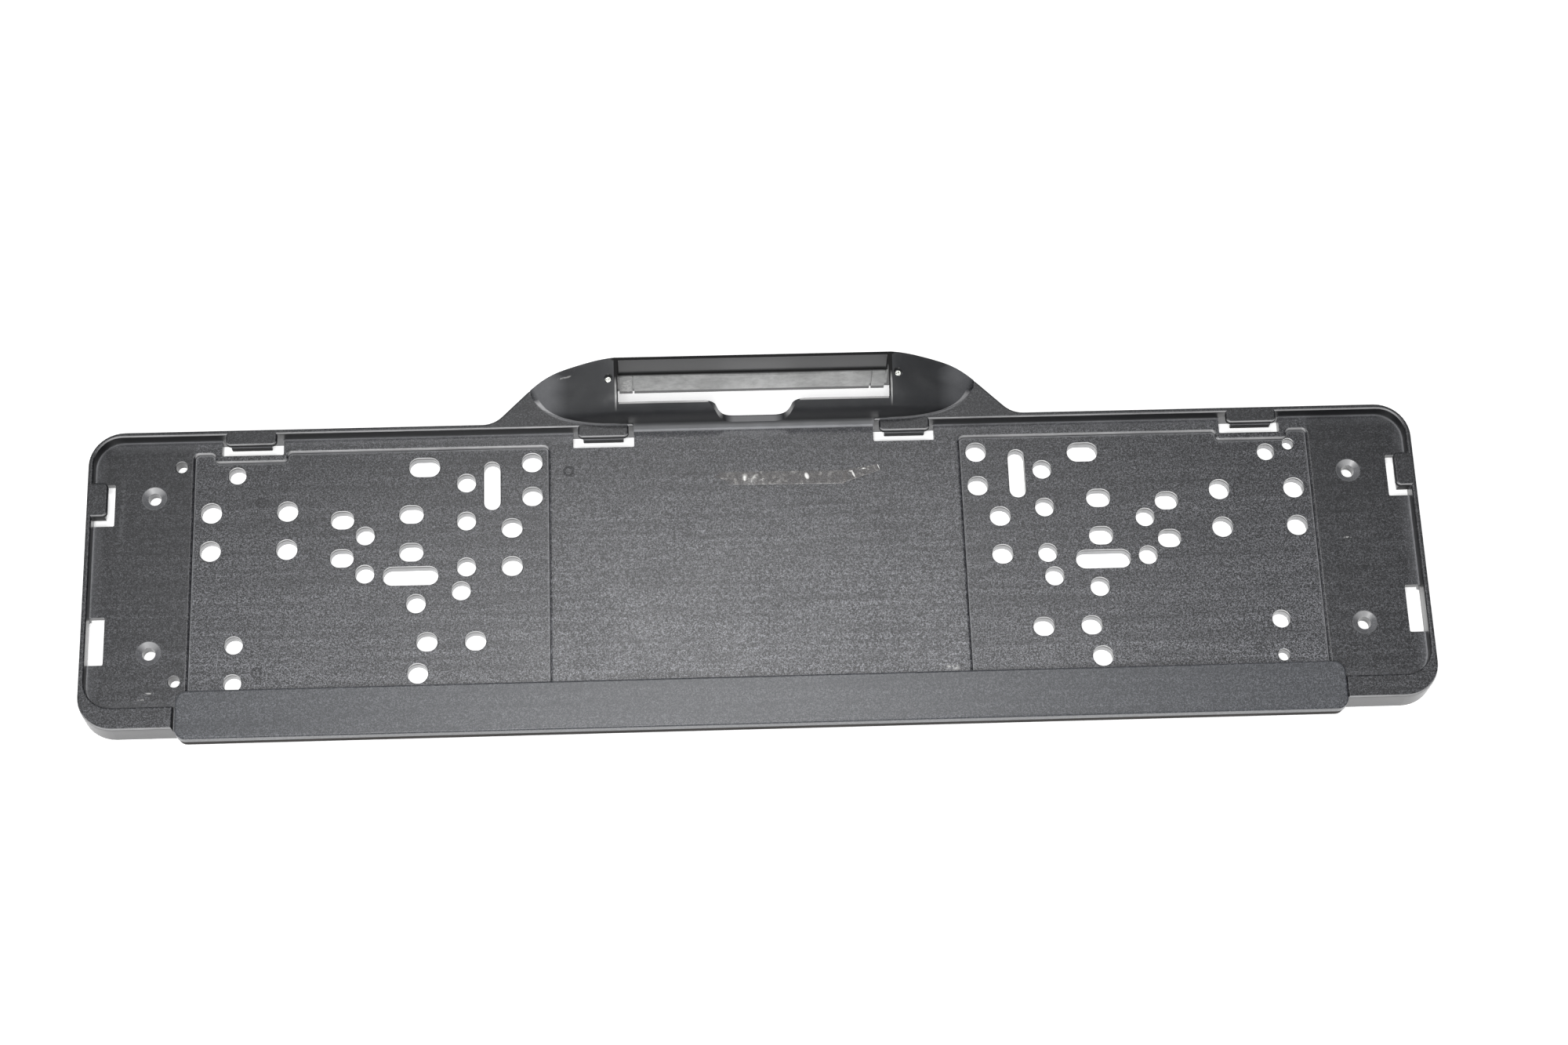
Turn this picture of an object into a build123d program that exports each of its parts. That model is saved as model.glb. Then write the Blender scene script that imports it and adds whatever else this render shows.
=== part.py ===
from build123d import *
import os

# Number plate holder for a long European plate, lying on its back with the plate side up.
# Millimetres, with the origin at the centre of the plate on the back plane.
os.makedirs("parts", exist_ok=True)

# Plate and the pocket that holds it
plate_length, plate_height = 520, 110
plate_gap_x, plate_gap_y = 2.1, 1.5
pocket_x = plate_length / 2 + plate_gap_x
pocket_y = plate_height / 2 + plate_gap_y
pocket_corner = 11

# Tray walls and levels above the back plane
rim_wall = 2.1
floor_top, floor_wall = 5.9, 2.9
floor_back = floor_top - floor_wall
rim_rise = 6.3
rim_top = floor_top + rim_rise
rail_width = 9.1
rail_length = 36.7
outer_corner = 14
edge_round = 0.8
half_x = pocket_x + rim_wall
top_y = pocket_y + rim_wall
bottom_y = -pocket_y - rail_width
rail_end_x = half_x - rail_length

# Hood: straight middle, depth behind the top rim, and the collar that spreads round it
hood_straight_x = 55
hood_depth = 20
hood_back_y = top_y + hood_depth
collar_foot_x = hood_straight_x + 49
collar_head_x = hood_straight_x + 29
collar_foot_round, collar_head_round = 11, 25
collar_wall = 2

# Stations of the hood's ends: distance past the straight middle, front foot from the top rim,
# back foot from the collar's back, ridge above the rim, fullness from 1 for boxy to 0 for a plain slope
hood_stations = [
    (0, -1.4, 0.2, 18.2, 1), (3.5, -1.3, 0.2, 17.2, 1), (9, -1.0, 0.2, 14.5, 1), (17, 0.3, 0.3, 9.4, 0.9),
    (24, 2.6, 1.0, 5.4, 0.7), (29.5, 5.7, 3.0, 2.9, 0.4), (33, 9.2, 5.1, 1.3, 0.1), (34.3, 12.0, 5.9, 0.5, 0),
]
hood_front_wall, hood_top_wall, hood_back_wall = 2.8, 2.2, 1.3
hollow_stations = 6
window_end_wall, window_lip = 1, 2.2
window_x = hood_straight_x - window_end_wall
window_low_y = top_y + window_lip
lip_top = rim_top + 13.8
notch_floor_x, notch_run, notch_drop = 8, 12.8, 13.9
mid_set_back, mid_set_back_inset = 0.9, 6.8
mid_set_back_x = hood_straight_x - mid_set_back_inset
liner_rise, liner_wall, liner_joint, liner_end = 3.3, 1.1, 0.7, 6

# Recessed fixing panels, one on each side of the middle field
panel_width, panel_end_margin, panel_top_margin, panel_low_margin = 140.4, 39.1, 5.7, 3.5
panel_out_x = pocket_x - panel_end_margin
panel_in_x = panel_out_x - panel_width
panel_top_y = pocket_y - panel_top_margin
panel_low_y = panel_low_margin - pocket_y
recess_depth, recess_foot, recess_round = 1.3, 0.1, 1.8
recess_edge = recess_depth - recess_foot

# Hook tabs over windows in the floor
inner_hook_x = hood_straight_x + 5.3
outer_hook_x = panel_out_x - 22.8
top_hook_width, top_hook_reach = 20.2, 4.6
side_hook_width, side_hook_reach, side_hook_set_back = 14.2, 6.1, 0.9
side_hook_y = pocket_y - 26.4
hook_wall, hook_root, hook_round = 2.1, 1.3, 2
hook_lip, hook_lip_drop, hook_lip_proud, hook_lip_round = 1.6, 3.1, 0.4, 0.5
window_side_gap, window_front_gap, window_round = 2.1, 1.9, 0.6
side_window_drop, side_window_gap = 0.3, 1.75
low_window_width, low_window_depth = 19.8, 6
low_window_y = 29.3 - pocket_y
window_in_wall = 1
notch_gap, notch_shift, notch_depth = 2.3, 0.5, 3.8

# Fixing holes of one panel, mirrored on the other: distance in from the panel's outer end, y, width, height
panel_holes = [
    (16.7, 41.8, 6.9, 6.9), (6.8, 26.0, 8.3, 8.3), (6.8, 9.8, 8.3, 8.3),
    (36.9, 26.0, 8.3, 8.3), (36.9, 9.8, 8.3, 8.3), (58.6, 21.7, 9.3, 7.4),
    (58.6, 5.5, 9.3, 7.4), (67.7, 14.8, 7.5, 7.5), (67.7, -1.4, 7.5, 7.5),
    (85.9, 23.5, 9.7, 7.5), (85.9, 7.4, 9.7, 7.5), (85.7, -2.6, 21.9, 7.6),
    (91.0, 43.6, 12.3, 7.9), (107.7, 36.4, 7.6, 7.6), (117.9, 35.0, 6.6, 20.5),
    (133.9, 44.6, 8.3, 7.9), (133.9, 30.0, 8.3, 7.9), (107.7, 20.1, 7.6, 7.6),
    (125.7, 16.7, 8.4, 7.9), (107.7, 0.6, 7.6, 7.6), (125.7, 0.5, 8.4, 7.9),
    (105.6, -9.4, 7.6, 7.6), (87.9, -14.3, 7.7, 7.7), (92.3, -30.4, 8.3, 7.6),
    (111.3, -30.5, 8.4, 7.6), (88.8, -43.3, 8.1, 8.1), (17.1, -29.8, 7.1, 7.1),
]
# Holes on one side only: side, distance in from the panel's outer end, y, diameter
odd_holes = [(-1, 17.0, -45.4, 7), (-1, -5.3, 45.6, 4.6), (-1, -5.3, -44.5, 4.6),
             (1, 7.4, 45.1, 4.6), (1, 17.4, -44.8, 4.6)]
# Shallow ejector marks of the panels, measured like the holes, and one in the middle field
pip_spots = [(26.6, 30.1), (26.3, -41.3)]
mid_pip_spot = (8.1 - panel_in_x, 40)
pip_width, pip_depth = 4, 0.25
# Rounded rims of the holes and bosses behind them, which reach the back plane
hole_edge = 0.4
hole_boss_wall = 1.2
hole_boss_top = floor_back - recess_depth + floor_wall / 2

# Corner screw holes with a dished seat and a boss that reaches the back plane
corner_x = pocket_x - 23.5
corner_y = pocket_y - 24
corner_hole, corner_dish, corner_dish_angle, corner_boss = 5.2, 9.4, 120, 11

# Stiffening ribs behind the middle field
back_rib_pitch, back_rib_y, back_rib_wall, back_rib_gap = 40, 22, 1.4, 0.5

# Small cross-head screws at the ends of the hood's window
screw_x = hood_straight_x + 2.7
screw_y = top_y + 11.9
screw_seat = rim_top + 13.2
screw_head, screw_head_height, screw_shank, screw_length = 2.8, 1.1, 1.9, 9
screw_head_round, screw_cross, screw_cross_wall, screw_cross_depth = 0.4, 1.9, 0.45, 0.6
screw_cross_turn = 20
screw_bore_gap, screw_seat_gap, screw_boss, screw_boss_rise = 0.1, 0.35, 5.5, 0.8

# Retainer strip that clips on the ledge between the ends of the bottom rail, slid a little to the right
strip_end_gap, strip_over_plate, strip_over_rail = 0.65, 5.8, 4.7
strip_slide = 0.45
strip_x = rail_end_x - strip_end_gap
strip_top_y = strip_over_plate - pocket_y
strip_low_y = bottom_y - strip_over_rail
strip_y, strip_height = (strip_top_y + strip_low_y) / 2, strip_top_y - strip_low_y
strip_rise = 1.1
strip_face = rim_top + strip_rise
strip_wall, strip_depth, strip_corner, strip_edge = 1.9, 4, 4.3, 0.8
ledge_rise = 2.1
ledge_top = floor_top + ledge_rise
ledge_back = ledge_top - floor_wall
skirt_below_ledge, skirt_inset, skirt_gap = 3.3, 0.5, 0.6
rib_pitches, rib_end, rib_wall = 8, 10.4, 1.6
rib_pitch = 2 * (strip_x - rib_end) / rib_pitches
clip_width, clip_wall, clip_barb, clip_gap, clip_play = 8, 1.6, 0.9, 0.3, 0.8
clip_y = bottom_y + 4.6
clip_x = [rib_pitch * (i + (1 - rib_pitches) / 2) for i in range(rib_pitches)]


def hood_section(x, front, back, ridge, full, low):
    """Closed outline of the hood at one station, upright at the back and, where it is full, at the front."""
    run, rise, lean = back - front, ridge - rim_top, 1 - full
    shoulder, heel = rim_top + 0.2 * full * rise, rim_top + 0.95 * rise
    with BuildSketch(Plane.YZ.offset(x)) as section:
        with BuildLine():
            Polyline((back, heel), (back, low), (front, low), (front, shoulder))
            Spline((front, shoulder),
                   (front + (0.08 + 0.17 * lean) * run, rim_top + (0.66 - 0.4 * lean) * rise),
                   (front + (0.26 + 0.24 * lean) * run, rim_top + (0.82 - 0.24 * lean) * rise),
                   (back - 0.06 * run, ridge), (back, heel), tangents=((lean, full + 0.1), (0, -1)))
        make_face()
    return section.sketch


def hood_shape(stations, front_wall, top_wall, back_wall, low):
    """Sections of one end of the hood, set inwards by the given walls, and its middle section's data."""
    return [(hood_straight_x + past, top_y + front + front_wall, hood_back_y - back - back_wall,
             rim_top + ridge - top_wall, full, low) for past, front, back, ridge, full in stations]


def hole_shapes(grow):
    """Fixing holes of both panels, larger by grow all round, in the sketch that is open."""
    for inset, y, width, height in panel_holes:
        with Locations((panel_out_x - inset, y), (inset - panel_out_x, y)):
            if width == height:
                Circle(width / 2 + grow)
            elif width > height:
                SlotOverall(width + 2 * grow, height + 2 * grow)
            else:
                SlotOverall(height + 2 * grow, width + 2 * grow, rotation=90)
    for side, inset, y, width in odd_holes:
        with Locations((side * (panel_out_x - inset), y)):
            Circle(width / 2 + grow)


# Body of the hood, a straight middle and two rounded ends
with BuildPart() as hood_body:
    outer = hood_shape(hood_stations, 0, 0, 0, rim_top - collar_wall)
    for side in (-1, 1):
        loft([hood_section(side * x, *rest) for x, *rest in outer])
    extrude(hood_section(-hood_straight_x, *outer[0][1:]), amount=2 * hood_straight_x)

# Hollow of the hood, open to the back plane
with BuildPart() as hood_hollow:
    inner = hood_shape(hood_stations[:hollow_stations], hood_front_wall, hood_top_wall, hood_back_wall, -1)
    for side in (-1, 1):
        loft([hood_section(side * x, *rest) for x, *rest in inner])
    extrude(hood_section(-hood_straight_x, *inner[0][1:]), amount=2 * hood_straight_x)

# Frame: tray, rim, hooks, collar and hood in one moulding
with BuildPart() as holder_frame:
    # Outer wall with the bump of the collar
    with BuildSketch() as outline:
        with Locations((0, (top_y + bottom_y) / 2)):
            RectangleRounded(2 * half_x, top_y - bottom_y, outer_corner)
        with BuildLine():
            Polyline((-collar_foot_x, top_y), (-collar_head_x, hood_back_y),
                     (collar_head_x, hood_back_y), (collar_foot_x, top_y), close=True)
        make_face()
        fillet(outline.vertices().group_by(Axis.Y)[-1], collar_head_round)
        feet = outline.vertices().filter_by(lambda v: abs(v.Y - top_y) < edge_round)
        fillet(feet.sort_by(lambda v: abs(v.X))[:2], collar_foot_round)
    extrude(amount=rim_top)
    # Plate pocket, set back a little in front of the hood
    with BuildSketch(Plane.XY.offset(rim_top)):
        RectangleRounded(2 * pocket_x, 2 * pocket_y, pocket_corner)
        with Locations((0, pocket_y)):
            Rectangle(2 * mid_set_back_x, 2 * mid_set_back)
    extrude(amount=-rim_rise, mode=Mode.SUBTRACT)
    # Gap between the rail ends for the retainer strip
    with BuildSketch(Plane.XY.offset(rim_top)):
        with Locations((0, bottom_y)):
            Rectangle(2 * rail_end_x, 2 * rail_width)
    extrude(amount=ledge_top - rim_top, mode=Mode.SUBTRACT)
    # Hook tabs
    top_hooks = [side * x for side in (-1, 1) for x in (inner_hook_x, outer_hook_x)]
    with BuildSketch(Plane.XY.offset(rim_top)) as top_tabs:
        with Locations(*[(x, pocket_y + (hook_root - top_hook_reach) / 2) for x in top_hooks]):
            Rectangle(top_hook_width, top_hook_reach + hook_root)
        fillet(top_tabs.vertices().group_by(Axis.Y)[0], hook_round)
    extrude(amount=-hook_wall)
    with BuildSketch(Plane.XY.offset(rim_top)) as side_tabs:
        for side in (-1, 1):
            with Locations((side * (pocket_x + (hook_root - side_hook_reach) / 2), side_hook_y)):
                Rectangle(side_hook_reach + hook_root, side_hook_width)
        fillet(side_tabs.vertices().sort_by(lambda v: abs(v.X))[:4], hook_round)
    extrude(amount=-hook_wall)
    fillet(holder_frame.edges().group_by(Axis.Z)[-1], edge_round)
    # Recessed panels with a step round the outer hook windows
    top_window_width = top_hook_width + 2 * window_side_gap
    notch_x = outer_hook_x + notch_shift
    notch_half = top_window_width / 2 + notch_gap
    with BuildSketch(Plane.XY.offset(floor_top)) as recess:
        with BuildLine():
            Polyline((panel_in_x, panel_low_y), (panel_in_x, panel_top_y),
                     (notch_x - notch_half, panel_top_y), (notch_x - notch_half, panel_top_y - notch_depth),
                     (notch_x + notch_half, panel_top_y - notch_depth), (notch_x + notch_half, panel_top_y),
                     (panel_out_x, panel_top_y), (panel_out_x, panel_low_y), close=True)
        make_face()
        fillet(recess.vertices(), recess_round)
        mirror(about=Plane.YZ)
    extrude(amount=-recess_depth, mode=Mode.SUBTRACT)
    fillet(holder_frame.edges(Select.LAST).group_by(Axis.Z)[-1], recess_edge)
    # Hollow back of the tray, shallower behind the panels
    with BuildSketch():
        RectangleRounded(2 * pocket_x, 2 * pocket_y, pocket_corner)
    extrude(amount=floor_back - recess_depth, mode=Mode.SUBTRACT)
    with BuildSketch(Plane.XY.offset(floor_back - recess_depth)):
        RectangleRounded(2 * pocket_x, 2 * pocket_y, pocket_corner)
        for side in (-1, 1):
            with Locations((side * (panel_in_x + panel_out_x) / 2, 0)):
                Rectangle(panel_width + 2 * rim_wall, 3 * pocket_y, mode=Mode.SUBTRACT)
    extrude(amount=recess_depth, mode=Mode.SUBTRACT)
    # Hollow back of the ledge, of the rail's ends and of the collar
    rail_inner_y, rail_inner_width = bottom_y + rail_width / 2, rail_width - 2 * rim_wall
    with BuildSketch():
        with Locations((0, rail_inner_y)):
            Rectangle(2 * (half_x - outer_corner), rail_inner_width)
    extrude(amount=ledge_back, mode=Mode.SUBTRACT)
    rail_hollow = rail_length - outer_corner - rim_wall
    with BuildSketch():
        for side in (-1, 1):
            with Locations((side * (rail_end_x + rim_wall + rail_hollow / 2), rail_inner_y)):
                Rectangle(rail_hollow, rail_inner_width)
    extrude(amount=rim_top - collar_wall, mode=Mode.SUBTRACT)
    with BuildSketch() as collar_hollow:
        with BuildLine():
            Polyline((rim_wall - collar_foot_x, top_y + mid_set_back),
                     (rim_wall / 2 - collar_head_x, hood_back_y - rim_wall),
                     (collar_head_x - rim_wall / 2, hood_back_y - rim_wall),
                     (collar_foot_x - rim_wall, top_y + mid_set_back), close=True)
        make_face()
        fillet(collar_hollow.vertices().group_by(Axis.Y)[-1], collar_head_round - rim_wall)
    extrude(amount=rim_top - collar_wall, mode=Mode.SUBTRACT)
    # Hood with its hollow, its window and the notch in the window's lower lip
    add(hood_body.part)
    add(hood_hollow.part, mode=Mode.SUBTRACT)
    hood_inner_back = hood_hollow.part.bounding_box().max.Y
    with BuildSketch(Plane.XY.offset(rim_top)):
        with Locations((0, (window_low_y + hood_inner_back) / 2)):
            Rectangle(2 * window_x, hood_inner_back - window_low_y)
    extrude(amount=hood_back_y, mode=Mode.SUBTRACT)
    notch_floor, notch_lip_x = lip_top - notch_drop, notch_floor_x + notch_run
    with BuildSketch(Plane.XZ.offset(-window_low_y - edge_round)):
        with BuildLine():
            Polyline((-notch_lip_x, lip_top), (-notch_lip_x, hood_back_y), (notch_lip_x, hood_back_y),
                     (notch_lip_x, lip_top))
            Spline((notch_lip_x, lip_top), (notch_floor_x, notch_floor), tangents=((-1, 0), (-1, 0)))
            Line((notch_floor_x, notch_floor), (-notch_floor_x, notch_floor))
            Spline((-notch_floor_x, notch_floor), (-notch_lip_x, lip_top), tangents=((-1, 0), (-1, 0)))
        make_face()
    extrude(amount=2 * hood_front_wall, mode=Mode.SUBTRACT)
    # Thicker foot of the hood's back wall, in three lengths
    liner_x = window_x - liner_end
    with BuildSketch():
        with Locations((0, hood_inner_back - liner_wall / 2)):
            Rectangle(2 * liner_x - liner_joint, liner_wall)
            with GridLocations(liner_x + window_x, 0, 2, 1):
                Rectangle(liner_end - liner_joint, liner_wall)
    extrude(amount=rim_top + liner_rise)
    # Windows in the floor below the hooks and in the lower ends
    top_window_depth = top_hook_reach + window_front_gap
    side_window_depth = side_hook_reach + window_front_gap + window_in_wall
    low_depth = low_window_depth + window_in_wall
    with BuildSketch():
        with Locations(*[(x, pocket_y - top_window_depth / 2) for x in top_hooks]):
            RectangleRounded(top_window_width, top_window_depth, window_round)
        for side in (-1, 1):
            window_end = pocket_x + window_in_wall
            with Locations((side * (window_end - side_window_depth / 2), side_hook_y - side_window_drop)):
                RectangleRounded(side_window_depth, side_hook_width + 2 * side_window_gap, window_round)
            with Locations((side * (window_end - low_depth / 2), low_window_y)):
                RectangleRounded(low_depth, low_window_width, window_round)
    extrude(amount=floor_top, mode=Mode.SUBTRACT)
    # Lip below the free edge of each top tab and solid block below each side tab
    lip_y = pocket_y - top_hook_reach + hook_lip / 2 - hook_lip_proud
    block_reach = side_hook_reach - side_hook_set_back + hook_root
    with BuildSketch(Plane.XY.offset(rim_top - hook_wall)):
        with Locations(*[(x, lip_y) for x in top_hooks]):
            RectangleRounded(top_hook_width - 2 * hook_round, hook_lip, hook_lip_round)
        with GridLocations(2 * (pocket_x + hook_root) - block_reach, 0, 2, 1):
            with Locations((0, side_hook_y)):
                Rectangle(block_reach, side_hook_width)
    extrude(amount=-hook_lip_drop)
    # Fixing holes of the panels and their bosses
    with BuildSketch():
        hole_shapes(hole_boss_wall)
    extrude(amount=hole_boss_top)
    with BuildSketch():
        hole_shapes(0)
    extrude(amount=floor_top, mode=Mode.SUBTRACT)
    hole_rims = holder_frame.edges(Select.LAST).filter_by_position(Axis.Z, hole_boss_top, floor_top)
    fillet(hole_rims, hole_edge)
    # Ejector marks
    with BuildSketch(Plane.XY.offset(floor_top - recess_depth)):
        for inset, y in pip_spots:
            with Locations((panel_out_x - inset, y), (inset - panel_out_x, y)):
                Circle(pip_width / 2)
    extrude(amount=-pip_depth, mode=Mode.SUBTRACT)
    with BuildSketch(Plane.XY.offset(floor_top)):
        with Locations(mid_pip_spot):
            Circle(pip_width / 2)
    extrude(amount=-pip_depth, mode=Mode.SUBTRACT)
    # Corner screw bosses and their dished holes
    with BuildSketch():
        with GridLocations(2 * corner_x, 2 * corner_y, 2, 2):
            Circle(corner_boss / 2)
    extrude(amount=floor_top - recess_depth)
    with Locations(Plane.XY.offset(floor_top)):
        with GridLocations(2 * corner_x, 2 * corner_y, 2, 2):
            CounterSinkHole(corner_hole / 2, corner_dish / 2, counter_sink_angle=corner_dish_angle)
    # Stiffening ribs behind the middle field
    with BuildSketch(Plane.XY.offset(back_rib_gap)):
        with GridLocations(back_rib_pitch, 0, 3, 1):
            Rectangle(back_rib_wall, 2 * pocket_y)
        with GridLocations(0, 2 * back_rib_y, 1, 2):
            Rectangle(2 * panel_in_x, back_rib_wall)
    extrude(amount=floor_back - back_rib_gap)
    # Slots in the ledge for the clips of the retainer strip
    slot_y = clip_y + (clip_barb + clip_gap) / 2
    with BuildSketch(Plane.XY.offset(ledge_top)):
        with Locations(*[(x, slot_y) for x in clip_x]):
            Rectangle(clip_width + 2 * clip_play, clip_wall + clip_barb + 3 * clip_gap)
    extrude(amount=-2 * floor_wall, mode=Mode.SUBTRACT)
    # Screw bosses inside the hood and their seats
    with BuildSketch(Plane.XY.offset(rim_top + screw_boss_rise)):
        with Locations((-screw_x, screw_y), (screw_x, screw_y)):
            Circle(screw_boss / 2)
    extrude(until=Until.NEXT)
    with Locations(Plane.XY.offset(screw_seat + screw_head_height)):
        with Locations((-screw_x, screw_y), (screw_x, screw_y)):
            CounterBoreHole((screw_shank + screw_bore_gap) / 2, screw_head / 2 + screw_seat_gap,
                            screw_head_height)
holder_frame.part.label = "holder_frame"
export_step(holder_frame.part, "parts/holder_frame.step")

# Retainer strip, a shallow cap with a skirt at its lower edge, ribs and clips
with BuildPart() as retainer_strip:
    with BuildSketch(Plane.XY.offset(strip_face)):
        with Locations((strip_slide, strip_y)):
            RectangleRounded(2 * strip_x, strip_height, strip_corner)
    extrude(amount=-strip_depth)
    fillet(retainer_strip.edges().group_by(Axis.Z)[-1], strip_edge)
    with BuildSketch(Plane.XY.offset(strip_face - strip_wall)):
        with Locations((strip_slide, strip_y)):
            RectangleRounded(2 * (strip_x - strip_wall), strip_height - 2 * strip_wall,
                             strip_corner - strip_wall)
    extrude(amount=strip_wall - strip_depth, mode=Mode.SUBTRACT)
    # Skirt below the lower edge and round its corners, outside the bottom wall of the frame
    skirt_in = skirt_inset + strip_wall
    with BuildSketch(Plane.XY.offset(strip_face - strip_wall)):
        with Locations((strip_slide, strip_y)):
            RectangleRounded(2 * (strip_x - skirt_inset), strip_height - 2 * skirt_inset,
                             strip_corner - skirt_inset)
            RectangleRounded(2 * (strip_x - skirt_in), strip_height - 2 * skirt_in,
                             strip_corner - skirt_in, mode=Mode.SUBTRACT)
        with Locations((strip_slide, bottom_y - skirt_gap)):
            Rectangle(2 * strip_x, strip_height, align=(Align.CENTER, Align.MIN), mode=Mode.SUBTRACT)
    extrude(amount=ledge_top - skirt_below_ledge - strip_face + strip_wall)
    # Ribs that rest on the ledge
    with BuildSketch(Plane.XY.offset(ledge_top)):
        with Locations((strip_slide, strip_y)):
            with GridLocations(rib_pitch, 0, rib_pitches + 1, 1):
                Rectangle(rib_wall, strip_height - 2 * strip_wall)
    extrude(amount=strip_face - strip_wall - ledge_top)
    # Clips that reach through the ledge and catch behind it
    barb_top = ledge_back - clip_gap
    clip_front, clip_back = clip_y - clip_wall / 2, clip_y + clip_wall / 2
    for x in clip_x:
        with BuildSketch(Plane.YZ.offset(x + strip_slide)):
            with BuildLine():
                Polyline((clip_back, strip_face - strip_wall), (clip_front, strip_face - strip_wall),
                         (clip_front, barb_top), (clip_front - clip_barb, barb_top - clip_barb / 2),
                         (clip_front, barb_top - 2.5 * clip_barb), (clip_back, barb_top - 2.5 * clip_barb),
                         close=True)
            make_face()
        extrude(amount=clip_width / 2, both=True)
retainer_strip.part.label = "retainer_strip"
export_step(retainer_strip.part, "parts/retainer_strip.step")

# Two small cross-head screws
with BuildPart() as hood_screws:
    with BuildSketch(Plane.XY.offset(screw_seat)):
        with Locations((-screw_x, screw_y), (screw_x, screw_y)):
            Circle(screw_head / 2)
    extrude(amount=screw_head_height)
    fillet(hood_screws.edges().group_by(Axis.Z)[-1], screw_head_round)
    with BuildSketch(Plane.XY.offset(screw_seat)):
        with Locations((-screw_x, screw_y), (screw_x, screw_y)):
            Circle(screw_shank / 2)
    extrude(amount=-screw_length)
    with BuildSketch(Plane.XY.offset(screw_seat + screw_head_height)):
        with Locations((-screw_x, screw_y), (screw_x, screw_y)):
            Rectangle(screw_cross, screw_cross_wall, rotation=screw_cross_turn)
            Rectangle(screw_cross_wall, screw_cross, rotation=screw_cross_turn)
    extrude(amount=-screw_cross_depth, mode=Mode.SUBTRACT)
hood_screws.part.label = "hood_screws"
export_step(hood_screws.part, "parts/hood_screws.step")
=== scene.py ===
import math

import bpy
import numpy as np
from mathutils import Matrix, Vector


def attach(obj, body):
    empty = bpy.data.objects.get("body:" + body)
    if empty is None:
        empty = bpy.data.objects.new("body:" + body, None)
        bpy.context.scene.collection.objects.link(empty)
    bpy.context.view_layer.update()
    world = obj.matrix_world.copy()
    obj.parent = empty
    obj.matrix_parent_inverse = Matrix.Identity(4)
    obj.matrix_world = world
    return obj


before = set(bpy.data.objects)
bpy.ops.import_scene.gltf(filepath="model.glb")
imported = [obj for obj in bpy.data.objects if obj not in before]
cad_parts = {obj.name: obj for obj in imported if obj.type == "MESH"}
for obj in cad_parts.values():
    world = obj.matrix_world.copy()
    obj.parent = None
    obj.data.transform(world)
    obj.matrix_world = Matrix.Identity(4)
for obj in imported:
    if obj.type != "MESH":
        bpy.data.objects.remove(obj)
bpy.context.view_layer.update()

# Holder frame: tray, rim, hooks, collar and hood of the plate holder in one piece.
# Injection-moulded black ABS, grained on the tray, the rim and the collar and satin smooth on the
# hood. It is screwed to the car through its dished corner holes.
panel_top, floor_top, rim_top = 4.6, 5.9, 12.2  # millimetres above the back plane
pocket_x, pocket_y = 262.1, 56.5  # half sizes of the tray
middle_x, panel_out_x = 80, 223  # half widths of the middle field and of all the fields
corner_x, corner_y, dish_radius = 238.6, 32.5, 4.7
window_x, ring_radius = 54, 1.8
abs_ior = 1.52


def linear(code):
    """Linear RGBA of an sRGB hex colour."""
    part = np.array([int(code[i:i + 2], 16) for i in (1, 3, 5)]) / 255
    return (*np.where(part <= 0.04045, part / 12.92, ((part + 0.055) / 1.055) ** 2.4), 1)


def add_node(tree, kind, inputs=(), links=(), **settings):
    """Adds one node, sets its attributes and its input values, and links outputs to its inputs."""
    new = tree.nodes.new(kind)
    for name, value in settings.items():
        setattr(new, name, value)
    for name, value in dict(inputs).items():
        new.inputs[name].default_value = value
    for name, output in dict(links).items():
        tree.links.new(output, new.inputs[name])
    return new


def new_material(name):
    """A node material with its empty tree and its place on the object in millimetres."""
    material = bpy.data.materials.new(name)
    material.use_nodes = True
    tree = material.node_tree
    tree.nodes.clear()
    metres = add_node(tree, "ShaderNodeTexCoord").outputs["Object"]
    place = add_node(tree, "ShaderNodeVectorMath", {"Scale": 1000}, {0: metres},
                     operation="SCALE").outputs[0]
    return material, tree, place


def box_mask(tree, place, centre, half, soft):
    """1 where |place - centre| < half on all three axes, falling to 0 over the soft widths."""
    away = place
    for operation, value in (("SUBTRACT", centre), ("ABSOLUTE", (0, 0, 0)),
                             ("SUBTRACT", half), ("DIVIDE", soft)):
        away = add_node(tree, "ShaderNodeVectorMath", {1: value}, {0: away},
                        operation=operation).outputs[0]
    axes = add_node(tree, "ShaderNodeSeparateXYZ", links={0: away}).outputs
    most = axes["X"]
    for axis in ("Y", "Z"):
        most = add_node(tree, "ShaderNodeMath", links={0: most, 1: axes[axis]},
                        operation="MAXIMUM").outputs[0]
    return add_node(tree, "ShaderNodeMapRange", {"To Min": 1, "To Max": 0},
                    {"Value": most}).outputs["Result"]


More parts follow.
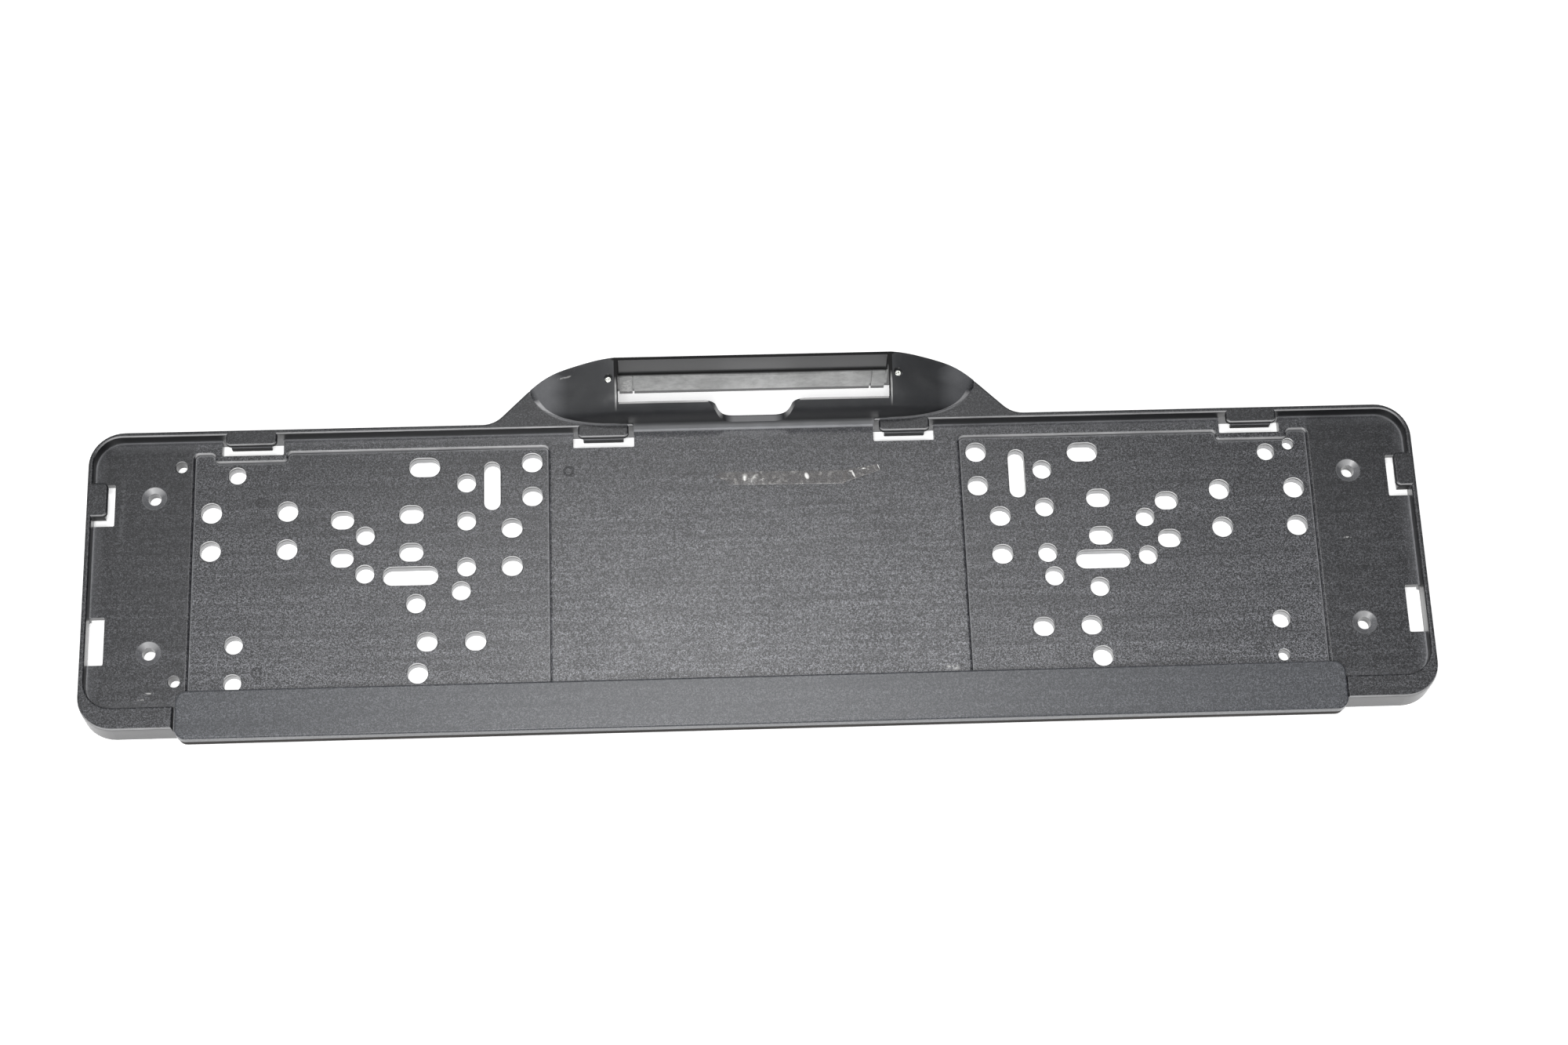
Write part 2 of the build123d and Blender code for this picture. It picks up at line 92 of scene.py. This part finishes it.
def grain(tree, place, base, glint_colour, amount):
    """Skin from a spark-eroded mould: pale glints painted into the colour = (grit + 0.4 cell) x streak x
    amount, and its normal.
    """
    # grit of 0.8 mm and cells of 0.3 mm, about twice as coarse as the real ones so that they show
    grit = add_node(tree, "ShaderNodeTexNoise", {"Scale": 1.3, "Detail": 2, "Roughness": 0.85},
                    {"Vector": place}).outputs["Fac"]
    cells = add_node(tree, "ShaderNodeTexVoronoi", {"Scale": 3.2}, {"Vector": place})
    cell = add_node(tree, "ShaderNodeSeparateXYZ", links={0: cells.outputs["Color"]}).outputs["X"]
    # pale flecks painted into the colour stand for the glints of the grain
    glints = add_node(tree, "ShaderNodeMath", {1: 0.4}, {0: cell, 2: grit},
                      operation="MULTIPLY_ADD").outputs[0]
    glints = add_node(tree, "ShaderNodeMapRange", {"From Min": 0.6, "From Max": 1.05},
                      {"Value": glints}).outputs["Result"]
    # rubbed streaks along the plate's length, about 65 mm long and 2 mm wide
    along = add_node(tree, "ShaderNodeVectorMath", {1: (0.015, 0.5, 0.5)}, {0: place},
                     operation="MULTIPLY").outputs[0]
    streak = add_node(tree, "ShaderNodeTexNoise", {"Scale": 1, "Detail": 2},
                      {"Vector": along}).outputs["Fac"]
    streak = add_node(tree, "ShaderNodeMapRange", {"From Min": 0.3, "From Max": 0.7, "To Min": 0.68,
                                                   "To Max": 1.26}, {"Value": streak}).outputs["Result"]
    for share in (streak, amount):
        glints = add_node(tree, "ShaderNodeMath", links={0: glints, 1: share},
                          operation="MULTIPLY").outputs[0]
    tone = add_node(tree, "ShaderNodeMix", {6: linear(base), 7: linear(glint_colour)}, {"Factor": glints},
                    data_type="RGBA").outputs[2]
    # the grit stands 0.06 mm proud
    bump = add_node(tree, "ShaderNodeBump", {"Distance": 0.06 * 0.001},
                    {"Height": grit, "Strength": amount}).outputs["Normal"]
    return tone, bump


# Moulded ABS shows a near-black ground with pale flecks, painted as the glints of its grain, a soft sheen
# where the mould was smooth, painted highlights, reflections and shade on its edges, holes and window, and
# dust that wiping leaves in its corners.
frame_plastic, tree, place = new_material("grained_black_abs")
axes = add_node(tree, "ShaderNodeSeparateXYZ", links={0: place}).outputs
folded = add_node(tree, "ShaderNodeVectorMath", links={0: place}, operation="ABSOLUTE").outputs[0]
outward = add_node(tree, "ShaderNodeNewGeometry").outputs["Normal"]
face = add_node(tree, "ShaderNodeSeparateXYZ", links={0: outward}).outputs

# the grain and its painted glints cover the upper faces, are weaker towards the top, on the end fields and
# on the rim, so that the painted glints fall off away from the lamps as the sheen does, and leave the hood
# and the lip of its notch smooth
fade_to_top = add_node(tree, "ShaderNodeMapRange", {"From Min": -55, "From Max": 55, "To Min": 1,
                                               "To Max": 0.45}, {"Value": axes["Y"]}).outputs["Result"]
upper = add_node(tree, "ShaderNodeMapRange", {"From Min": 0.3, "From Max": 0.8, "To Min": 0.1},
                 {"Value": face["Z"]}).outputs["Result"]
fields = box_mask(tree, place, (0, 0, 0), (panel_out_x, pocket_y, floor_top), (1, 1, 5))
fields = add_node(tree, "ShaderNodeMapRange", {"To Min": 0.45}, {"Value": fields}).outputs["Result"]
middle = box_mask(tree, place, (0, 0, 0), (middle_x, pocket_y, floor_top), (1, 1, 5))
middle = add_node(tree, "ShaderNodeMapRange", {"To Min": 0.85}, {"Value": middle}).outputs["Result"]
hood = add_node(tree, "ShaderNodeMapRange", {"From Min": rim_top + 0.3, "From Max": rim_top + 4},
                {"Value": axes["Z"]}).outputs["Result"]
notch_lip = box_mask(tree, place, (0, 59.5, rim_top), (15, 2.6, 0.5), (1, 0.2, 1))
satin = add_node(tree, "ShaderNodeMath", links={0: hood, 1: notch_lip}, operation="MAXIMUM").outputs[0]
satin = add_node(tree, "ShaderNodeMapRange", {"To Min": 1, "To Max": 0.08},
                 {"Value": satin}).outputs["Result"]
amount = fade_to_top
for share in (upper, fields, middle, satin):
    amount = add_node(tree, "ShaderNodeMath", links={0: amount, 1: share},
                      operation="MULTIPLY").outputs[0]
tone, bump = grain(tree, place, "#141518", "#9d9ea4", amount)

# dust along the foot of the rim and in all inner corners, and a paler tone in the dished seats
inner = box_mask(tree, place, (0, 0, 0), (pocket_x - 5, pocket_y - 5, 8), (5, 5, 1))
foot = box_mask(tree, place, (0, 0, 0), (pocket_x + 0.2, pocket_y + 0.2, floor_top + 0.4),
                (0.3, 0.3, 1.5))
foot = add_node(tree, "ShaderNodeMath", links={0: foot, 1: inner}, operation="SUBTRACT",
                use_clamp=True).outputs[0]
reach = add_node(tree, "ShaderNodeVectorMath", {1: (corner_x, corner_y, floor_top)}, {0: folded},
                 operation="DISTANCE").outputs["Value"]
dish = add_node(tree, "ShaderNodeMapRange", {"From Min": dish_radius, "From Max": dish_radius + 0.4,
                                             "To Min": 1, "To Max": 0}, {"Value": reach}).outputs["Result"]
nook = add_node(tree, "ShaderNodeAmbientOcclusion", {"Distance": 1.2 * 0.001}, samples=8,
                only_local=True).outputs["AO"]
nook = add_node(tree, "ShaderNodeMapRange", {"From Min": 0.9, "From Max": 0.6},
                {"Value": nook}).outputs["Result"]

# painted light on the hood's tips, which evens their shading with the collar, dust on the rim's wall below
# the hood, and a painted reflection of the table on the liner, in blotches of 6 mm
painted_tip_light = box_mask(tree, folded, (86, 71, 15.6), (4, 8, 2), (8, 4, 1))
wall = box_mask(tree, place, (0, 58, floor_top + 1), (48, 1.2, 1.5), (0.5, 0.5, 5))
# painted reflection of the lit table on the liner, mottled in blotches of 6 mm
liner_reflection = box_mask(tree, place, (0, 76.5, 9), (window_x + 0.5, 1.3, 6.4), (0.5, 0.4, 0.4))
mottle = add_node(tree, "ShaderNodeTexNoise", {"Scale": 0.16, "Detail": 4, "Roughness": 0.65},
                  {"Vector": place}).outputs["Fac"]
mottle = add_node(tree, "ShaderNodeMapRange", {"From Min": 0.35, "From Max": 0.65, "To Min": 0.7,
                                               "To Max": 1.15}, {"Value": mottle}).outputs["Result"]
liner_reflection = add_node(tree, "ShaderNodeMath", links={0: liner_reflection, 1: mottle}, operation="MULTIPLY").outputs[0]

# painted reflection of the lit table on the lower part of the hole walls that face the lower side, and
# painted highlights on rounded edges that face the lower side, most of all on the edges of the recessed
# panels
slope = add_node(tree, "ShaderNodeMapRange", {"From Min": -0.15, "From Max": -0.5},
                 {"Value": face["Y"]}).outputs["Result"]
below = box_mask(tree, place, (0, 0, 0), (300, 100, rim_top), (1, 1, 0.1))
sunk = box_mask(tree, place, (0, 0, 0), (panel_out_x, pocket_y - 1, panel_top), (1, 1, 0.05))
deep = box_mask(tree, place, (0, 0, 0), (300, 100, 3.1), (1, 1, 0.5))
# painted reflection of the lit table on the lower part of the hole walls
hole_wall_reflection = add_node(tree, "ShaderNodeMapRange", {"From Min": 0.25, "From Max": 0.1},
                {"Value": face["Z"]}).outputs["Result"]
for share in (slope, sunk, deep):
    hole_wall_reflection = add_node(tree, "ShaderNodeMath", links={0: hole_wall_reflection, 1: share}, operation="MULTIPLY").outputs[0]
# painted highlights on rounded edges that face the holder's lower side
edge_highlight = add_node(tree, "ShaderNodeMapRange", {"From Min": 0.25, "From Max": 0.5},
                {"Value": face["Z"]}).outputs["Result"]
for share in (slope, below):
    edge_highlight = add_node(tree, "ShaderNodeMath", links={0: edge_highlight, 1: share}, operation="MULTIPLY").outputs[0]
# brightest painted highlights on the edges inside the recessed panels, round the holes
panel_edge_highlight = add_node(tree, "ShaderNodeMath", links={0: edge_highlight, 1: sunk}, operation="MULTIPLY").outputs[0]

# painted highlights on the edges of the hood's window and on the line where the hood meets the collar
front_edge_highlight = box_mask(tree, place, (0, 60.5, 25.9), (window_x - 0.5, 0.1, 0.25), (0.3, 0.25, 0.3))
end_edge_highlight = box_mask(tree, folded, (window_x + 0.9, 65, 26), (0.15, 4, 3), (0.25, 3, 2))
# painted highlight along the hood's crease with the collar
crease_highlight = box_mask(tree, folded, (72, 62, 12.85), (16, 4.5, 0.3), (3, 2, 0.25))

# each layer's colour and share, dust and painted light alike; clouds of about 30 mm make it thicker here
# and thinner there
cloud = add_node(tree, "ShaderNodeTexNoise", {"Scale": 0.03, "Detail": 4, "Roughness": 0.6},
                 {"Vector": place}).outputs["Fac"]
for mask, colour, share in ((hood, "#515254", 0.45), (painted_tip_light, "#77787b", 0.5), (foot, "#85868a", 0.25),
                            (nook, "#a0a1a4", 0.5), (dish, "#a8a9ac", 0.3), (wall, "#b4b5b8", 0.85),
                            (liner_reflection, "#d8d9d8", 0.85), (hole_wall_reflection, "#c4c4c6", 0.8), (edge_highlight, "#cfcfd0", 0.55),
                            (panel_edge_highlight, "#f0f0f0", 0.85), (front_edge_highlight, "#e8e8e7", 0.6),
                            (end_edge_highlight, "#e8e8e7", 0.4), (crease_highlight, "#c4c4c6", 0.6)):
    layer_share = add_node(tree, "ShaderNodeMapRange", {"From Min": 0.3, "From Max": 0.7,
                                                 "To Min": 0.6 * share, "To Max": 1.2 * share},
                    {"Value": cloud}).outputs["Result"]
    layer_share = add_node(tree, "ShaderNodeMath", links={0: layer_share, 1: mask}, operation="MULTIPLY").outputs[0]
    tone = add_node(tree, "ShaderNodeMix", {7: linear(colour)}, {"Factor": layer_share, 6: tone},
                    data_type="RGBA").outputs[2]

# scuffs and scratches on upper faces, broken up at about 1 mm:
# centre, half size and soft width in millimetres, colour and share
topside = add_node(tree, "ShaderNodeMapRange", {"From Min": -0.2, "From Max": 0},
                   {"Value": face["Z"]}).outputs["Result"]
broken = add_node(tree, "ShaderNodeTexNoise", {"Scale": 0.9, "Detail": 3},
                  {"Vector": place}).outputs["Fac"]
for centre, half, soft, colour, share in (
        ((74.8, -46.9, floor_top), (1.6, 0.4, 2), (1.4, 0.8, 1), "#c9c9c7", 0.8),
        ((-251, 25.5, floor_top), (0.3, 10, 1), (1.1, 8, 1), "#77787b", 0.25),
        ((-237.7, -49.1, floor_top), (1.4, 0.1, 1), (0.6, 0.35, 1), "#c2c2c1", 0.7),
        ((-240.9, -51.6, floor_top), (0.9, 0.1, 1), (0.6, 0.35, 1), "#c2c2c1", 0.6),
        ((235.4, 3.6, floor_top), (1.2, 0.1, 1), (0.6, 0.35, 1), "#c2c2c1", 0.8),
        ((-75.3, 75.4, 21), (2.4, 0.1, 4), (0.7, 0.3, 2), "#a9a9a8", 0.6),
        ((-51, 76.5, 8), (1, 1.4, 4), (2, 0.3, 3), "#f0f0ee", 0.8)):
    mark = box_mask(tree, place, centre, half, soft)
    flaws = add_node(tree, "ShaderNodeMapRange", {"From Min": 0.42, "From Max": 0.55, "To Max": share},
                     {"Value": broken}).outputs["Result"]
    for part in (flaws, topside):
        mark = add_node(tree, "ShaderNodeMath", links={0: mark, 1: part},
                        operation="MULTIPLY").outputs[0]
    tone = add_node(tree, "ShaderNodeMix", {7: linear(colour)}, {"Factor": mark, 6: tone},
                    data_type="RGBA").outputs[2]

# painted shade, also matt: a dark line above the liner, dark lines round the hood's window and dark rings
# round the ejector marks, but not on faces that look to the holder's upper side
painted_shade = box_mask(tree, place, (0, 77.1, 16.6), (window_x, 0.3, 0.4), (0.3, 0.2, 2.5))
# painted shadow lines at the window's ends, along its top and in its upper corners
window_end = box_mask(tree, folded, (window_x, 70, 24), (0.25, 9, 8), (0.15, 0.5, 0.5))
window_top = box_mask(tree, place, (0, 77.9, 31.2), (window_x + 2, 0.9, 0.8), (1, 0.2, 0.4))
window_corner = box_mask(tree, folded, (window_x + 0.6, 75, 27), (0.75, 4, 6), (0.15, 4, 1))
aside = add_node(tree, "ShaderNodeMath", links={0: axes["X"]}, operation="ABSOLUTE").outputs[0]
mirrored = add_node(tree, "ShaderNodeCombineXYZ",
                    links={"X": aside, "Y": axes["Y"], "Z": axes["Z"]}).outputs[0]
# painted shade on the outlines of the raised ejector marks
rings = []
for spot, where in (((196.4, 30.1, panel_top), mirrored), ((196.7, -41.3, panel_top), mirrored),
                    ((-74.5, 40, floor_top), place)):
    reach = add_node(tree, "ShaderNodeVectorMath", {1: spot}, {0: where},
                     operation="DISTANCE").outputs["Value"]
    reach = add_node(tree, "ShaderNodeMath", {1: ring_radius}, {0: reach},
                     operation="SUBTRACT").outputs[0]
    reach = add_node(tree, "ShaderNodeMath", links={0: reach}, operation="ABSOLUTE").outputs[0]
    rings.append(add_node(tree, "ShaderNodeMapRange", {"From Min": 0.3, "From Max": 0.6, "To Min": 0.5,
                                                       "To Max": 0}, {"Value": reach}).outputs["Result"])
for mask in (window_end, window_top, window_corner, *rings):
    painted_shade = add_node(tree, "ShaderNodeMath", links={0: painted_shade, 1: mask}, operation="MAXIMUM").outputs[0]
front = add_node(tree, "ShaderNodeMapRange", {"From Min": 0.5, "From Max": 0.2},
                 {"Value": face["Y"]}).outputs["Result"]
painted_shade = add_node(tree, "ShaderNodeMath", links={0: painted_shade, 1: front}, operation="MULTIPLY").outputs[0]
tone = add_node(tree, "ShaderNodeMix", {7: linear("#0b0b0c")}, {"Factor": painted_shade, 6: tone},
                data_type="RGBA").outputs[2]

# a moulded sheen, a little duller on the hood and where the clouds are thick, and matt where the shade is
# painted
rough = add_node(tree, "ShaderNodeMapRange", {"To Min": 0.28, "To Max": 0.4},
                 {"Value": cloud}).outputs["Result"]
dull = add_node(tree, "ShaderNodeMapRange", {"From Min": 8, "From Max": rim_top, "To Max": 0.05},
                {"Value": axes["Z"]}).outputs["Result"]
rough = add_node(tree, "ShaderNodeMath", links={0: rough, 1: dull}, operation="ADD").outputs[0]
rough = add_node(tree, "ShaderNodeMath", {1: 0.55}, {0: painted_shade, 2: rough},
                 operation="MULTIPLY_ADD").outputs[0]
skin = add_node(tree, "ShaderNodeBsdfPrincipled", {"IOR": abs_ior},
                {"Base Color": tone, "Roughness": rough, "Normal": bump})
add_node(tree, "ShaderNodeOutputMaterial", links={"Surface": skin.outputs["BSDF"]})
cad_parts["holder_frame"].material_slots[0].material = frame_plastic

# Retainer strip: a shallow moulded cap that keeps the plate's lower edge in the tray.
# The same black ABS with a slightly greyer grain; eight clips hold it in the ledge's slots.
cap_low = 9.3

# Moulded ABS again: weak painted glints on a greyed cap, and a matt dark brown below the cap's edge,
# painted as the shade there.
strip_plastic, tree, place = new_material("grained_grey_black_abs")
axes = add_node(tree, "ShaderNodeSeparateXYZ", links={0: place}).outputs
cap = add_node(tree, "ShaderNodeMapRange", {"From Min": cap_low - 0.1, "From Max": cap_low + 0.2},
               {"Value": axes["Z"]}).outputs["Result"]
amount = add_node(tree, "ShaderNodeMath", {1: 0.33}, {0: cap}, operation="MULTIPLY").outputs[0]
tone, bump = grain(tree, place, "#37393d", "#a2a4ab", amount)
# painted shade: below the cap's edge the skirt turns matt dark brown
tone = add_node(tree, "ShaderNodeMix", {6: linear("#17120f")}, {"Factor": cap, 7: tone},
                data_type="RGBA").outputs[2]
rough = add_node(tree, "ShaderNodeMapRange", {"To Min": 0.9, "To Max": 0.35},
                 {"Value": cap}).outputs["Result"]
skin = add_node(tree, "ShaderNodeBsdfPrincipled", {"IOR": abs_ior},
                {"Base Color": tone, "Roughness": rough, "Normal": bump})
add_node(tree, "ShaderNodeOutputMaterial", links={"Surface": skin.outputs["BSDF"]})
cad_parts["retainer_strip"].material_slots[0].material = strip_plastic

# Hood screws: two small cross-head screws at the ends of the hood's window.
# Zinc-plated steel, headed and rolled; each sits on a shallow seat in the hood.

# Zinc plating shows a bright, cool white metal with dulled blotches of about 0.4 mm.
screw_steel, tree, place = new_material("zinc_plated_steel")
blotch = add_node(tree, "ShaderNodeTexNoise", {"Scale": 2.5, "Detail": 3},
                  {"Vector": place}).outputs["Fac"]
rough = add_node(tree, "ShaderNodeMapRange", {"To Min": 0.2, "To Max": 0.45},
                 {"Value": blotch}).outputs["Result"]
steel = add_node(tree, "ShaderNodeBsdfPrincipled", {"Base Color": linear("#c9cac6"), "Metallic": 1},
                 {"Roughness": rough})
add_node(tree, "ShaderNodeOutputMaterial", links={"Surface": steel.outputs["BSDF"]})
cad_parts["hood_screws"].material_slots[0].material = screw_steel

# Tape remnant: a torn length of clear packing tape across the middle field, and its loose end.
# Polypropylene film of 0.05 mm, stuck down by its own glue and crinkled where it was pulled, its crinkles
# painted white as their glint.
film_wall, film_lift, fold_rise = 0.05, 0.12, 0.5  # millimetres
tear, edge_width = 0.05, 0.035  # shares of the length and of the width


def film(name, corners, folds):
    """Sheet p(u, v) between four corners, painted white at each fold as the glint of its crinkles, by h
    exp(-(dx/r)^2 - (dy/s)^2), where dx and dy are the way from the fold and dx leans with dy, and raised
    by fold_rise times that."""
    u, v = np.meshgrid(np.linspace(0, 1, 140), np.linspace(0, 1, 22), indexing="ij")
    a, b, c, d = np.array(corners, float)[:, None, None]
    # the torn end wavers along v
    end = u + tear * (1 - u) * np.sin(9 * v + 1) * (0.6 + 0.4 * np.sin(23 * v))
    points = ((1 - v)[..., None] * ((1 - end)[..., None] * a + end[..., None] * b)
              + v[..., None] * ((1 - end)[..., None] * d + end[..., None] * c))
    white = np.zeros(u.shape)
    for x, y, r, s, lean, h in folds:
        away = points[..., 0] - x - lean * (points[..., 1] - y)
        white += h * np.exp(-(away / r) ** 2 - ((points[..., 1] - y) / s) ** 2)
    points[..., 2] += film_lift + fold_rise * white
    # the long edges are pale, the lower one most
    white += 0.45 * np.exp(-((1 - v) / edge_width) ** 2) + 0.16 * np.exp(-(v / edge_width) ** 2)
    corner = np.arange(u.size).reshape(u.shape)
    faces = np.stack([corner[:-1, :-1], corner[:-1, 1:], corner[1:, 1:], corner[1:, :-1]], -1)
    mesh = bpy.data.meshes.new(name)
    mesh.from_pydata((points.reshape(-1, 3) * 0.001).tolist(), [], faces.reshape(-1, 4).tolist())
    whiteness = mesh.attributes.new("white", "FLOAT", "POINT")
    whiteness.data.foreach_set("value", white.ravel().astype(np.float32))
    mesh.shade_smooth()
    piece = bpy.data.objects.new(name, mesh)
    bpy.context.scene.collection.objects.link(piece)
    piece.modifiers.new("wall", "SOLIDIFY").thickness = film_wall * 0.001
    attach(piece, "root")
    return piece


# corners, then folds: place x and y, half width r and half length s, lean, and height h
tape = film("tape_remnant",
            ((-16.9, 38, floor_top), (37.5, 37.7, floor_top),
             (35.6, 31.9, floor_top), (-10.5, 32.5, floor_top)),
            ((-4.3, 35.4, 0.7, 1.1, 0.2, 0.8), (-4.2, 34.3, 0.4, 0.4, 0, 0.6),
             (3.2, 34.6, 0.35, 0.4, 0, 0.5), (-0.6, 35.5, 0.5, 1.2, 0.5, 0.45),
             (9.6, 33.9, 0.5, 0.4, 0, 0.4), (20.6, 35.5, 0.8, 1.3, -0.2, 1.3),
             (-13.4, 35.4, 1.2, 0.8, 0.8, 0.3), (0.8, 36.4, 0.5, 0.4, 0, 0.3),
             (-1, 35.5, 5, 2.2, 0, 0.2)))
loose_end = film("tape_loose_end",
                 ((35.6, 37.6, floor_top + 0.25), (49.2, 39.6, floor_top + 0.8),
                  (50, 37, floor_top + 0.8), (34.6, 32, floor_top + 0.25)),
                 ((39.3, 35.6, 0.45, 1.3, -0.4, 1.1), (38.2, 37, 1, 0.35, 0.5, 0.5),
                  (43.5, 37.9, 1, 0.3, 0.3, 0.9), (49.5, 38.4, 0.25, 1.1, -0.4, 1.1)))

# Clear film shows a gloss and little else where it lies flat, a painted white glint where it is folded,
# and white where the glue has clouded in blotches of about 2 mm.
clear_film, tree, place = new_material("clear_tape_film")
fold = add_node(tree, "ShaderNodeAttribute", attribute_name="white").outputs["Fac"]
fold = add_node(tree, "ShaderNodeMapRange", {"From Min": 0.12, "From Max": 0.75},
                {"Value": fold}).outputs["Result"]
glue = add_node(tree, "ShaderNodeTexNoise", {"Scale": 0.55, "Detail": 4, "Roughness": 0.7},
                {"Vector": place}).outputs["Fac"]
glue = add_node(tree, "ShaderNodeMapRange", {"From Min": 0.5, "From Max": 0.72, "To Max": 0.5},
                {"Value": glue}).outputs["Result"]
fold = add_node(tree, "ShaderNodeMath", links={0: fold, 1: glue}, operation="ADD",
                use_clamp=True).outputs[0]
tone = add_node(tree, "ShaderNodeMix", {6: linear("#7f7b79"), 7: linear("#f4f4f2")}, {"Factor": fold},
                data_type="RGBA").outputs[2]
cover = add_node(tree, "ShaderNodeMapRange", {"To Min": 0.14, "To Max": 0.95},
                 {"Value": fold}).outputs["Result"]
skin = add_node(tree, "ShaderNodeBsdfPrincipled", {"Roughness": 0.2, "IOR": 1.49},
                {"Base Color": tone, "Alpha": cover})
add_node(tree, "ShaderNodeOutputMaterial", links={"Surface": skin.outputs["BSDF"]})
for piece in (tape, loose_end):
    piece.data.materials.append(clear_film)

# Stage: a pale floor under the holder, soft overhead light, a key light near the camera
# and a camera at the photograph's angle, for a frame 2000 pixels wide and 1333 high.
photo_width, focal_pixels, sensor_width = 2000, 3970, 36
bpy.ops.mesh.primitive_plane_add(size=8)
floor = bpy.context.object
floor.name = "floor"

# A matt white table, which looks white to the camera and in reflections and keeps the shadow.
white_table, tree, place = new_material("white_table")
path = add_node(tree, "ShaderNodeLightPath").outputs
glow = add_node(tree, "ShaderNodeMath", {1: 0.5}, {0: path["Is Camera Ray"]},
                operation="MULTIPLY").outputs[0]
for ray, strength in (("Is Glossy Ray", 1), ("Is Transmission Ray", 0.5)):
    glow = add_node(tree, "ShaderNodeMath", {1: strength}, {0: path[ray], 2: glow},
                    operation="MULTIPLY_ADD").outputs[0]
matt = add_node(tree, "ShaderNodeBsdfDiffuse", {"Color": linear("#f3f3f3")})
light = add_node(tree, "ShaderNodeEmission", links={"Strength": glow})
both = add_node(tree, "ShaderNodeAddShader", links={0: matt.outputs[0], 1: light.outputs[0]})
add_node(tree, "ShaderNodeOutputMaterial", links={"Surface": both.outputs[0]})
floor.data.materials.append(white_table)

# the world is lighter overhead and on the left, and the camera itself sees a white backdrop
world = bpy.data.worlds.new("studio")
bpy.context.scene.world = world
world.use_nodes = True
sky = world.node_tree
ways = add_node(sky, "ShaderNodeTexCoord").outputs["Generated"]
ways = add_node(sky, "ShaderNodeSeparateXYZ", links={0: ways}).outputs
fade = add_node(sky, "ShaderNodeMapRange", {"From Max": 0.9, "To Min": 0.1, "To Max": 0.5},
                {"Value": ways["Z"]}).outputs["Result"]
side = add_node(sky, "ShaderNodeMath", {1: -0.35}, {0: ways["X"], 2: fade}, operation="MULTIPLY_ADD",
                use_clamp=True).outputs[0]
seen = add_node(sky, "ShaderNodeLightPath").outputs["Is Camera Ray"]
seen = add_node(sky, "ShaderNodeMath", links={0: side, 1: seen}, operation="MAXIMUM").outputs[0]
sky.links.new(seen, sky.nodes["Background"].inputs["Strength"])
sky.nodes["Background"].inputs["Color"].default_value = (1, 1, 1, 1)


def soft_light(name, place, aim, width, depth, watts):
    """A rectangular area light at a place, turned to an aim point."""
    lamp = bpy.data.lights.new(name, "AREA")
    lamp.shape, lamp.size, lamp.size_y, lamp.energy = "RECTANGLE", width, depth, watts
    stand = bpy.data.objects.new(name, lamp)
    bpy.context.scene.collection.objects.link(stand)
    stand.location = place
    stand.rotation_euler = (Vector(aim) - Vector(place)).to_track_quat("-Z", "Y").to_euler()


soft_light("key", (-0.1, -0.55, 1.25), (0, 0, 0), 0.35, 0.35, 11)
soft_light("overhead", (-0.01, 0.48, 2.0), (0, 0, 0), 0.5, 0.25, 10)

camera = bpy.data.objects.new("camera", bpy.data.cameras.new("camera"))
bpy.context.scene.collection.objects.link(camera)
camera.location = (-0.035924, -0.440507, 1.155925)
camera.rotation_euler = [math.radians(angle) for angle in (21.6931, -1.4926, -2.0961)]
camera.data.sensor_width = sensor_width
camera.data.lens = sensor_width * focal_pixels / photo_width
bpy.context.scene.camera = camera
bpy.context.scene.view_settings.view_transform = "Standard"
